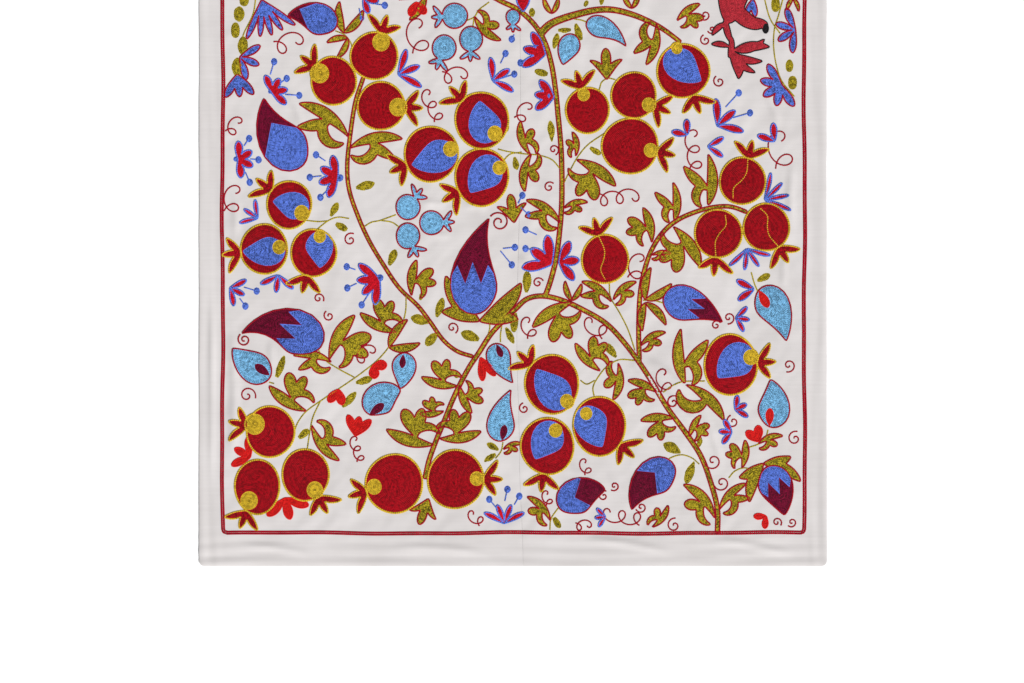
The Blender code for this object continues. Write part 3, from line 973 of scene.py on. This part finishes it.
def leaf_motif(leaf):
    """A leaf of joined lobes in olive with a crimson edge."""
    ahead = heading(leaf.turn)
    aside = np.array((-ahead[1], ahead[0])) * leaf.side
    patches = []
    for lobe in LEAF_KINDS[leaf.kind]:
        root = (leaf.x, leaf.y) + leaf.size * (lobe.along * ahead + lobe.aside * aside)
        outline = lobe_outline(*root, leaf.turn + lobe.turn * leaf.side, leaf.size * lobe.length,
                               leaf.size * lobe.width, lobe.bend * leaf.side, lobe.peak, lobe.roundness)
        patches.append(Patch(outline, "olive"))
    return Motif("leaf_stitching", patches, "rim_crimson", RIM_WIDTH, [])


def drop_motif(drop):
    """A plain olive leaf."""
    outline = lobe_outline(drop.x, drop.y, drop.turn, drop.length, drop.width, 8, 0.6, 0.62)
    return Motif("leaf_stitching", [Patch(outline, "olive")], None, 0.0, [])


def bead_motif(bead):
    """A garland's olive bead."""
    outline = oval(bead.x, bead.y, bead.width, bead.height, 20)
    return Motif("garland_stitching", [Patch(outline, "olive")], None, 0.0, [])


def flower_motif(flower, piece, fill, rim):
    """A fan of lobes."""
    turns = flower.turn + np.linspace(-0.5, 0.5, flower.lobes) * flower.fan
    patches = []
    for index, turn in enumerate(turns):
        outer = index in (0, flower.lobes - 1)
        length = flower.size * (1.0 if outer else 0.88)
        bend = (turn - flower.turn) * 0.25
        outline = lobe_outline(flower.x, flower.y, turn, length, flower.width, bend, 0.62, 0.62)
        patches.append(Patch(outline, fill))
    return Motif(piece, patches, rim, RIM_WIDTH, [])


def berry_motif(berry):
    """A blue berry on its stalk."""
    stalk = smooth_line([(berry.root_x, berry.root_y), (berry.x, berry.y)], HALF_STITCH)
    body = Patch(oval(berry.x, berry.y, 2.0 * BERRY_RADIUS, 2.2 * BERRY_RADIUS, 16), "cornflower")
    return Motif("flower_stitching", [body], None, 0.0, [Line(stalk, "cornflower", STALK_WIDTH)])


def vine_motif():
    """All the vines, joined where they meet."""
    patches = []
    for vine in VINES:
        line = smooth_line(vine.points, VINE_STEP)
        half = np.linspace(vine.start_width, vine.end_width, len(line))[:, None] / 2.0
        normal = line_normals(line) * half
        patches.append(Patch(np.vstack((line + normal, (line - normal)[::-1])), "olive"))
    return Motif("vine_stitching", patches, "rim_crimson", RIM_WIDTH, [])


def line_motif(piece, points, thread, width):
    """A single row of stitches."""
    return Motif(piece, [], None, 0.0, [Line(points, thread, width)])


def beast_motif():
    """A plain horned beast that climbs the side, with a tufted tail."""
    patches = [Patch(lobe_outline(*part), "madder") for part in BEAST_PARTS]
    patches += [Patch(oval(hoof.x, hoof.y, HOOF_WIDTH, HOOF_HEIGHT, 18), "black") for hoof in HOOFS]
    return Motif("beast_stitching", patches, "black", BEAST_RIM, [])


def border_motifs():
    """The crimson border: two rows of stitches side by side round the design, straying a little."""
    corner, cut = BORDER_CORNER, CORNER_CUT
    left, right, foot, top = BORDER_LEFT, BORDER_RIGHT, BORDER_FOOT, BORDER_TOP
    frame_line = [
        (left + corner, foot), (right - corner, foot), (right - cut, foot + cut),
        (right, foot + corner), (right, top - corner), (right - cut, top - cut),
        (right - corner, top), (left + corner, top), (left + cut, top - cut),
        (left, top - corner), (left, foot + corner), (left + cut, foot + cut),
        (left + corner, foot),
    ]
    line = even_line(points_of(frame_line), HALF_STITCH)
    run = np.arange(len(line)) * HALF_STITCH
    stray = BORDER_STRAY * (np.sin(run / 61.0) * 0.6 + np.sin(run / 23.0 + 1.0) * 0.25)
    normal = line_normals(line)
    rows = []
    for offset in (-BORDER_ROW, BORDER_ROW):
        row = line + normal * (stray + offset)[:, None]
        rows.append(line_motif("border_stitching", row, "rim_crimson", BORDER_WIDTH))
    return rows


def garland_motifs():
    """Garlands of beads and blue flowers up both sides of the hidden part."""
    motifs = []
    for step in range(GARLAND_ROWS):
        foot = GARLAND_FOOT + step * GARLAND_STEP
        for side in (-1, 1):
            flower = GARLAND_FLOWER._replace(x=side * GARLAND_FLOWER.x, y=foot + GARLAND_FLOWER.y)
            motifs.append(flower_motif(flower, "garland_stitching", "cornflower", "rim_crimson"))
            for bead in GARLAND_BEADS:
                motifs.append(bead_motif(bead._replace(x=side * bead.x, y=foot + bead.y)))
            stalk = smooth_line([(side * x, foot + y) for x, y in GARLAND_STALK], HALF_STITCH)
            motifs.append(line_motif("garland_stitching", stalk, "olive", STEM_WIDTH))
    return motifs


def lower_motifs():
    """Everything in the part of the design that shows, apart from the border, vines, garlands and beast."""
    stems = [smooth_line(stem, HALF_STITCH) for stem in STEMS]
    motifs = [line_motif("vine_stitching", stem, "olive", STEM_WIDTH) for stem in stems]
    motifs += [leaf_motif(leaf) for leaf in LEAVES]
    motifs += [drop_motif(drop) for drop in DROPS]
    motifs += [flower_motif(flower, "flower_stitching", "cherry", "cornflower") for flower in RED_FLOWERS]
    motifs += [flower_motif(flower, "flower_stitching", "scarlet", "scarlet") for flower in PLAIN_FLOWERS]
    motifs += [berry_motif(berry) for berry in BERRIES]
    for disc in DISCS:
        outline = oval(disc.x, disc.y, 2 * disc.radius, 2 * disc.radius, 16)
        motifs.append(Motif("bud_stitching", [Patch(outline, "cornflower")], None, 0.0, []))
    for fruit in FRUITS:
        motifs += fruit_motifs(fruit)
    motifs += [small_fruit_motif(fruit) for fruit in SMALL_FRUITS]
    for bud in BUDS:
        motifs += bud_motifs(bud)
    winding = [tendril_line(tendril) for tendril in TENDRILS] + [spiral_line(spiral) for spiral in SPIRALS]
    motifs += [line_motif("tendril_stitching", line, "rim_crimson", LINE_WIDTH) for line in winding]
    return motifs


def turned_points(points):
    """Points turned half a turn about the middle of the cloth."""
    return np.array((0.0, LENGTH_MM)) - points


def upper_copy(motif):
    """A motif of the lower part turned round to the hidden upper part, or None where it wouldn't fit."""
    patches = [Patch(turned_points(patch.outline), patch.thread) for patch in motif.patches]
    lines = [Line(turned_points(line.points), line.thread, line.width) for line in motif.lines]
    places = np.vstack([patch.outline for patch in patches] + [line.points for line in lines])
    near_beast = places[:, 0].max() > BEAST_LEFT and places[:, 1].min() < BEAST_TOP
    if places[:, 1].min() < TOP_START or np.abs(places[:, 0]).max() > TOP_HALF_WIDTH or near_beast:
        return None
    return motif._replace(patches=patches, lines=lines)


# Stitching: meshes from motifs

class Stitching:
    """The mesh of one piece of embroidery, gathered motif by motif."""

    def __init__(self, lift):
        self.lift = lift
        self.places, self.faces, self.threads = [], [], []
        self.insets, self.alongs, self.tones = [], [], []
        self.count = 0

    def add(self, flat, height, faces, threads, inset, alongs, tone):
        """Adds points, in millimetres on the cloth with a height over it, and their faces.

        alongs tells for each corner of each face how far along its row of stitches it lies.
        """
        x, y = flat[:, 0] * MM, flat[:, 1] * MM
        height = np.where(height < 0.0, height, height + self.lift)
        z = silk_top(x, y) + height * MM
        self.places.append(np.column_stack((x, y - LENGTH / 2.0, z)))
        self.faces.append(np.asarray(faces, int) + self.count)
        self.threads.append(np.asarray(threads, int))
        self.insets.append(np.broadcast_to(inset, len(flat)))
        self.alongs.append(np.asarray(alongs, float).ravel())
        self.tones.append(np.full(len(flat), tone))
        self.count += len(flat)

    def make(self, name, finishes):
        """The finished object."""
        mesh = bpy.data.meshes.new(name)
        faces = [face.tolist() for block in self.faces for face in block]
        mesh.from_pydata(np.vstack(self.places).tolist(), [], faces)
        used = sorted(set(np.concatenate(self.threads).tolist()))
        for index in used:
            mesh.materials.append(finishes[index])
        slots = np.searchsorted(used, np.concatenate(self.threads))
        mesh.polygons.foreach_set("material_index", slots.astype(np.int32))
        for label, domain, values in (
            ("inset", "POINT", self.insets),
            ("along", "CORNER", self.alongs),
            ("tone", "POINT", self.tones),
        ):
            attribute = mesh.attributes.new(label, "FLOAT", domain)
            attribute.data.foreach_set("value", np.concatenate(values).astype(np.float32))
        mesh.shade_smooth()
        made = bpy.data.objects.new(name, mesh)
        bpy.context.scene.collection.objects.link(made)
        return made


def stitch_line(stitching, line, tone):
    """A row of chain stitches: a ridge that is wide and high in mid-stitch and pinched between stitches."""
    points = even_line(line.points, HALF_STITCH)
    odd = np.arange(len(points)) % 2
    half = line.width / 2.0 * np.where(odd, 1.0, PINCH_WIDTH)
    normal = line_normals(points) * half[:, None]
    height = LINE_HEIGHT * np.where(odd, 1.0, PINCH_HEIGHT)
    count = len(points)
    root = np.full(count, -ROOT_DEPTH)
    top = normal * LINE_TOP
    flat = np.vstack((points - normal, points - top, points + top, points + normal))
    rise = np.concatenate((root, height, height, root))
    start = np.arange(count - 1)
    strips = []
    for row in (0, 1, 2):
        a, b = start + row * count, start + (row + 1) * count
        strips.append(np.column_stack((a, a + 1, b + 1, b)))
    faces = np.vstack(strips)
    run = np.arange(count) * HALF_STITCH
    thread = THREAD_INDEX[line.thread]
    stitching.add(flat, rise, faces, [thread] * len(faces), 0.0, run[faces % count], tone)


def winds_round(outline, points):
    """Whether an outline goes round each of some points."""
    x, y = points[:, :1], points[:, 1:]
    x0, y0 = outline.T
    x1, y1 = np.roll(outline, -1, 0).T
    side = (x1 - x0) * (y - y0) - (x - x0) * (y1 - y0)
    up = (y0 <= y) & (y1 > y) & (side > 0.0)
    down = (y0 > y) & (y1 <= y) & (side < 0.0)
    return up.sum(1) != down.sum(1)


def inside_points(outlines):
    """An even spread of points over the box that some outlines fill, every other row shifted."""
    low = np.min([outline.min(0) for outline in outlines], 0)
    high = np.max([outline.max(0) for outline in outlines], 0)
    x = np.arange(low[0] + FILL_CELL / 2.0, high[0], FILL_CELL)
    y = np.arange(low[1] + FILL_CELL / 2.0, high[1], FILL_CELL * 0.866)
    grid_x, grid_y = np.meshgrid(x, y)
    grid_x[1::2] += FILL_CELL / 2.0
    return np.column_stack((grid_x.ravel(), grid_y.ravel()))


def distance_to(points, starts, ends):
    """Each point's distance from the nearest of some straight edges."""
    nearest = np.full(len(points), 1e9)
    run = ends - starts
    length = np.maximum((run**2).sum(1), 1e-12)
    for block in range(0, len(points), BLOCK):
        some = points[block:block + BLOCK, None, :]
        share = np.clip(((some - starts) * run).sum(2) / length, 0.0, 1.0)
        gap = np.linalg.norm(some - starts - share[..., None] * run, axis=2)
        nearest[block:block + BLOCK] = gap.min(1)
    return nearest


def runs_round(triangles, flat, outline):
    """For each corner of some triangles, how far round an outline the outline's nearest point lies.

    Where a triangle's corners are near unlike stretches of the outline, all three take their mean.
    """
    points = flat[triangles].reshape(-1, 2)
    steps = np.roll(outline, -1, 0) - outline
    lengths = np.linalg.norm(steps, axis=1)
    before = np.cumsum(lengths) - lengths
    runs = np.empty(len(points))
    for block in range(0, len(points), BLOCK):
        some = points[block:block + BLOCK, None, :]
        share = np.clip(((some - outline) * steps).sum(2) / np.maximum(lengths**2, 1e-12), 0.0, 1.0)
        nearest = np.linalg.norm(some - outline - share[..., None] * steps, axis=2).argmin(1)
        part_way = share[np.arange(len(nearest)), nearest] * lengths[nearest]
        runs[block:block + BLOCK] = before[nearest] + part_way
    runs = runs.reshape(-1, 3)
    whole = lengths.sum()
    runs = np.where(runs - runs.min(1, keepdims=True) > whole / 2.0, runs - whole, runs)
    mixed = np.ptp(runs, axis=1) > 4.0 * FILL_CELL
    runs[mixed] = runs[mixed].mean(1, keepdims=True)
    return runs


def loops_of(edges):
    """Chains directed edges into closed loops."""
    ahead = {}
    for a, b in edges:
        ahead.setdefault(a, []).append(b)
    loops = []
    while ahead:
        start = next(iter(ahead))
        loop = [start]
        at = start
        while at in ahead:
            following = ahead[at].pop()
            if not ahead[at]:
                del ahead[at]
            loop.append(following)
            at = following
            if at == start:
                break
        if len(loop) > 5:
            loops.append(loop)
    return loops


def stitch_patches(stitching, motif, tone):
    """Fills a motif's patches, which are joined where they overlap, and edges the whole with its rim."""
    outlines = [patch.outline for patch in motif.patches]
    corners = np.vstack(outlines)
    starts = np.cumsum([0] + [len(outline) for outline in outlines])
    rings = [np.arange(a, b) for a, b in zip(starts[:-1], starts[1:])]
    following = np.concatenate([np.roll(ring, -1) for ring in rings])
    edges = list(enumerate(following.tolist()))
    spread = inside_points(outlines)
    spread = spread[distance_to(spread, corners, corners[following]) > FILL_CELL * 0.45]
    everything = np.vstack((corners, spread))
    made = delaunay_2d_cdt([tuple(point) for point in everything], edges, [], 0, 1e-5)
    flat, triangles = np.array([tuple(vert) for vert in made[0]]), np.array(made[2])
    middles = flat[triangles].mean(1)
    uppermost = np.full(len(triangles), -1)
    for index, outline in enumerate(outlines):
        uppermost[winds_round(outline, middles)] = index
    alongs = np.zeros(triangles.shape)
    for index, outline in enumerate(outlines):
        shown = uppermost == index
        if shown.any():
            alongs[shown] = runs_round(triangles[shown], flat, outline)
    alongs = alongs[uppermost >= 0]
    kept = triangles[uppermost >= 0].tolist()
    threads = [THREAD_INDEX[motif.patches[index].thread] for index in uppermost[uppermost >= 0]]
    owner = {}
    for index, triangle in enumerate(kept):
        for a, b in zip(triangle, triangle[1:] + triangle[:1]):
            owner[a, b] = threads[index]
    rim_edges = [edge for edge in owner if edge[::-1] not in owner]
    thread_edges = [edge for edge, thread in owner.items() if owner.get(edge[::-1], thread) != thread]
    used = sorted({corner for triangle in kept for corner in triangle})
    place = {corner: index for index, corner in enumerate(used)}
    faces = [[place[corner] for corner in triangle] for triangle in kept]
    ends = np.array(rim_edges + thread_edges)
    inset = distance_to(flat[used], flat[ends[:, 0]], flat[ends[:, 1]])
    outer = np.array(rim_edges)
    from_rim = distance_to(flat[used], flat[outer[:, 0]], flat[outer[:, 1]])
    height = FILL_HEIGHT * smooth_step(0.25 + from_rim / 3.0) * smooth_step(0.72 + inset / 4.0)
    height = np.where(from_rim < 1e-3, UNDER_RIM if motif.rim else -ROOT_DEPTH, height)
    stitching.add(flat[used], height, faces, threads, inset, alongs, tone)
    if motif.rim:
        for loop in loops_of(rim_edges):
            rim = soften_loop(flat[loop])
            stitch_line(stitching, Line(rim, motif.rim, motif.rim_width), tone)


def soften_loop(ring):
    """A closed ring, evenly spaced and a little rounded at its notches."""
    line = even_line(ring, HALF_STITCH)
    body = line[:-1]
    softer = body * 0.5 + (np.roll(body, 1, 0) + np.roll(body, -1, 0)) * 0.25
    return np.vstack((softer, softer[:1]))


def embroider(motifs, finishes):
    """All the pieces of embroidery."""
    chance = np.random.RandomState(7)
    pieces = {}
    for motif in motifs:
        stitching = pieces.setdefault(motif.piece, Stitching(LAYER_LIFTS[motif.piece]))
        tone = chance.uniform(-1.0, 1.0)
        if motif.patches:
            stitch_patches(stitching, motif, tone)
        for line in motif.lines:
            stitch_line(stitching, line, tone)
    return [stitching.make(name, finishes) for name, stitching in pieces.items()]


# Finishes

# How much lighter or darker each makes the thread, by random tone or by painted sheen and shade
STITCH_LIGHT = 0.7
# painted sheen: lighter and darker patches over the stitching
PAINTED_SHEEN_PATCHES = 0.12
# painted shade between rows of stitches, lighter on the rows
PAINTED_ROW_SHADE = 0.16
# painted shade at the ends of each stitch, lighter mid-stitch
PAINTED_STITCH_SHADE = 0.42
# painted sheen: faint lighter and darker rings along a filling's rows
PAINTED_SHEEN_RINGS = 0.13
TONE_LIGHT = 0.08

# The silk, in linear colours
SILK_DARK = (0.520, 0.490, 0.482, 1.0)
SILK_PALE = (0.640, 0.610, 0.604, 1.0)
SLUB_LIGHT = 0.5
CLOUD_LIGHT = 1.1


class Socket:
    """An output of a node. Arithmetic on it adds Math nodes."""

    def __init__(self, finish, output):
        self.finish, self.output = finish, output

    def maths(self, operation, *terms):
        links = dict(enumerate(terms))
        return self.finish.node("ShaderNodeMath", {"operation": operation}, links)

    def __add__(self, other):
        return self.maths("ADD", self, other)

    def __sub__(self, other):
        return self.maths("SUBTRACT", self, other)

    def __rsub__(self, other):
        return self.maths("SUBTRACT", other, self)

    def __mul__(self, other):
        return self.maths("MULTIPLY", self, other)

    __radd__ = __add__
    __rmul__ = __mul__

    def sine(self):
        return self.maths("SINE", self)


class Finish:
    """A material and the nodes that make it."""

    def __init__(self, name, roughness, sheen, gloss):
        self.material = bpy.data.materials.new(name)
        self.material.use_nodes = True
        self.tree = self.material.node_tree
        self.shader = self.tree.nodes["Principled BSDF"]
        self.shader.inputs["Roughness"].default_value = roughness
        self.shader.inputs["Sheen Weight"].default_value = sheen
        self.shader.inputs["Sheen Roughness"].default_value = 0.4
        self.shader.inputs["Specular IOR Level"].default_value = gloss

    def feed(self, socket, value):
        """Links a value to a socket, or sets it."""
        if isinstance(value, Socket):
            self.tree.links.new(value.output, socket)
        else:
            socket.default_value = value

    def node(self, kind, settings=(), links=(), output=0):
        """A node of any kind, with its settings made before its sockets are fed."""
        made = self.tree.nodes.new(kind)
        for label, value in dict(settings).items():
            setattr(made, label, value)
        for label, value in dict(links).items():
            self.feed(made.inputs[label], value)
        return Socket(self, made.outputs[output])

    def mix(self, share, first, second):
        """Blends two colours."""
        return self.node("ShaderNodeMix", {"data_type": "RGBA"}, {0: share, 6: first, 7: second}, 2)

    def bump(self, height, strength, distance):
        """Raises the surface by a height of 0 to 1."""
        links = {"Height": height, "Strength": strength, "Distance": distance}
        self.feed(self.shader.inputs["Normal"], self.node("ShaderNodeBump", (), links))

    def colour(self, value):
        self.feed(self.shader.inputs["Base Color"], value)


def shade(colour, factor):
    """A colour made lighter or darker, as a socket takes it."""
    return (*[min(1.0, channel * factor) for channel in colour], 1.0)


def thread_finish(thread):
    """Silk in chain stitch: rows of short stitches, each a little lighter or darker than the next; painted
    shade between rows and stitches, painted sheen in patches and rings.
    """
    finish = Finish(thread.name + "_thread", roughness=0.72, sheen=0.0, gloss=0.10)
    place = finish.node("ShaderNodeTexCoord", output="Object")
    inset = finish.node("ShaderNodeAttribute", {"attribute_name": "inset"}, output="Fac")
    along = finish.node("ShaderNodeAttribute", {"attribute_name": "along"}, output="Fac")
    tone = finish.node("ShaderNodeAttribute", {"attribute_name": "tone"}, output="Fac")
    cells = {"Vector": place, "Scale": 1.0 / STITCH_CELL, "Randomness": 0.85}
    stitch_colour = finish.node("ShaderNodeTexVoronoi", {"feature": "F1"}, cells, "Color")
    stitch_light = finish.node("ShaderNodeSeparateColor", (), {"Color": stitch_colour}, "Red")
    stitch_round = finish.node("ShaderNodeTexVoronoi", {"feature": "F1"}, cells, "Distance")
    # Painted sheen: lighter and darker patches
    sheen_patches = finish.node("ShaderNodeTexNoise", (), {"Vector": place, "Scale": 60.0, "Detail": 3.0}, "Fac")
    # Ridges of the rows: in the colour, painted shade between rows; in the bump, real relief
    row = (inset * (math.tau / ROW_PITCH)).sine()
    shift = (inset * (math.pi / ROW_PITCH)).sine() * ROW_SHIFT
    # Painted shade: darker at the ends of each stitch, lighter mid-stitch
    stitch_shade_wave = (along * (math.pi / HALF_STITCH) + shift - math.pi / 2.0).sine()
    # Painted sheen: faint rings along a filling's rows
    rings = (inset * (math.tau / SHEEN_RING_PITCH) + sheen_patches * 3.0).sine()
    light = 0.5 + (stitch_light - 0.5) * STITCH_LIGHT + (sheen_patches - 0.5) * PAINTED_SHEEN_PATCHES
    light = light + row * PAINTED_ROW_SHADE + stitch_shade_wave * PAINTED_STITCH_SHADE + rings * PAINTED_SHEEN_RINGS + tone * TONE_LIGHT
    dark = shade(thread.colour, 1.0 - thread.spread)
    pale = shade(thread.colour, 1.0 + thread.spread * 1.2)
    finish.colour(finish.mix(light, dark, pale))
    finish.bump(row * 0.35 + (1.0 - stitch_round) * 0.65, strength=0.7, distance=0.0006)
    return finish.material


def silk_finish():
    """Off-white hand-loomed silk: fine threads both ways, a few thick ones, and faint grey clouds."""
    finish = Finish("silk_ground", roughness=0.62, sheen=0.05, gloss=0.20)
    place = finish.node("ShaderNodeTexCoord", output="Object")
    weave = {"Vector": place, "Scale": 420.0, "Distortion": 1.5, "Detail": 2.0}
    weft = finish.node("ShaderNodeTexWave", {"bands_direction": "Y"}, weave, "Fac")
    warp = finish.node("ShaderNodeTexWave", {"bands_direction": "X"}, weave, "Fac")
    long_way = finish.node("ShaderNodeMapping", (), {"Vector": place, "Scale": (9.0, 260.0, 9.0)})
    slub = finish.node("ShaderNodeTexNoise", (), {"Vector": long_way, "Scale": 1.0, "Detail": 4.0}, "Fac")
    cloudy = finish.node("ShaderNodeTexNoise", (), {"Vector": place, "Scale": 11.0, "Detail": 5.0}, "Fac")
    light = 0.5 + (slub - 0.5) * SLUB_LIGHT + (cloudy - 0.5) * CLOUD_LIGHT
    finish.colour(finish.mix(light, SILK_DARK, SILK_PALE))
    finish.bump(weft * 0.3 + warp * 0.3 + slub * 0.4, strength=0.25, distance=0.0004)
    return finish.material


def floor_finish():
    """A plain pale floor."""
    finish = Finish("pale_floor", roughness=0.9, sheen=0.0, gloss=0.2)
    place = finish.node("ShaderNodeTexCoord", output="Object")
    grain = finish.node("ShaderNodeTexNoise", (), {"Vector": place, "Scale": 30.0}, "Fac")
    finish.colour(finish.mix(grain, (0.90, 0.90, 0.90, 1.0), (0.92, 0.92, 0.92, 1.0)))
    return finish.material


# Stage: what stands round the cloth

PHOTO_WIDTH, PHOTO_HEIGHT = 1024.0, 683.0
PHOTO_SCALE = 1.6 * MM  # metres of cloth to a pixel
MIDDLE_COLUMN, HEM_ROW = 513.0, 566.0  # the cloth's middle and lower hem in the picture
LENS, SENSOR = 85.0, 36.0

WORLD_LIGHT = 0.50
LAMP_POWER = 3.9
LAMP_SPREAD = 9.0  # degrees, as are its tilt and turn
LAMP_TILT, LAMP_TURN = 53.0, 40.0
FLOOR_REACH = 30.0


def make_camera():
    """A camera straight above, framing the cloth as the picture does."""
    camera = bpy.data.objects.new("camera", bpy.data.cameras.new("camera"))
    bpy.context.scene.collection.objects.link(camera)
    camera.data.lens = LENS
    camera.data.sensor_width = SENSOR
    across = (PHOTO_WIDTH / 2.0 - MIDDLE_COLUMN) * PHOTO_SCALE
    up = (HEM_ROW - PHOTO_HEIGHT / 2.0) * PHOTO_SCALE - LENGTH / 2.0
    camera.location = (across, up, PHOTO_WIDTH * PHOTO_SCALE * LENS / SENSOR)
    bpy.context.scene.camera = camera


def make_light():
    """Soft light from all round, and a broad lamp from the lower right."""
    world = bpy.data.worlds.new("studio")
    world.use_nodes = True
    world.node_tree.nodes["Background"].inputs["Color"].default_value = (1.0, 1.0, 1.0, 1.0)
    world.node_tree.nodes["Background"].inputs["Strength"].default_value = WORLD_LIGHT
    bpy.context.scene.world = world
    lamp = bpy.data.objects.new("lamp", bpy.data.lights.new("lamp", "SUN"))
    lamp.data.energy = LAMP_POWER
    lamp.data.angle = math.radians(LAMP_SPREAD)
    lamp.rotation_euler = (math.radians(LAMP_TILT), 0.0, math.radians(LAMP_TURN))
    bpy.context.scene.collection.objects.link(lamp)


def make_floor():
    """The surface that the cloth lies on."""
    near, far = -FLOOR_REACH, FLOOR_REACH
    corners = [(near, near, 0.0), (far, near, 0.0), (far, far, 0.0), (near, far, 0.0)]
    mesh = bpy.data.meshes.new("floor")
    mesh.from_pydata(corners, [], [(0, 1, 2, 3)])
    mesh.materials.append(floor_finish())
    floor = bpy.data.objects.new("floor", mesh)
    bpy.context.scene.collection.objects.link(floor)


def main():
    bpy.context.scene.view_settings.view_transform = "Standard"
    make_camera()
    make_light()
    make_floor()
    silk = silk_finish()
    left = make_panel("left_loom_width", -1, silk)
    right = make_panel("right_loom_width", 1, silk)
    finishes = [thread_finish(thread) for thread in THREADS]
    lower = lower_motifs()
    upper = [copy for copy in map(upper_copy, lower) if copy]
    garlands = [
        flower_motif(flower, "garland_stitching", "cornflower", "rim_crimson")
        for flower in BLUE_FLOWERS
    ]
    garlands += [bead_motif(bead) for bead in BEADS] + garland_motifs()
    motifs = [vine_motif(), *lower, *upper, *garlands, beast_motif(), *border_motifs()]
    embroidery = embroider(motifs, finishes)
    for piece in (left, right):
        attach(piece, "root")
    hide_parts("left_panel")
    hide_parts("right_panel")
    for piece in embroidery:
        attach(piece, "root")


main()
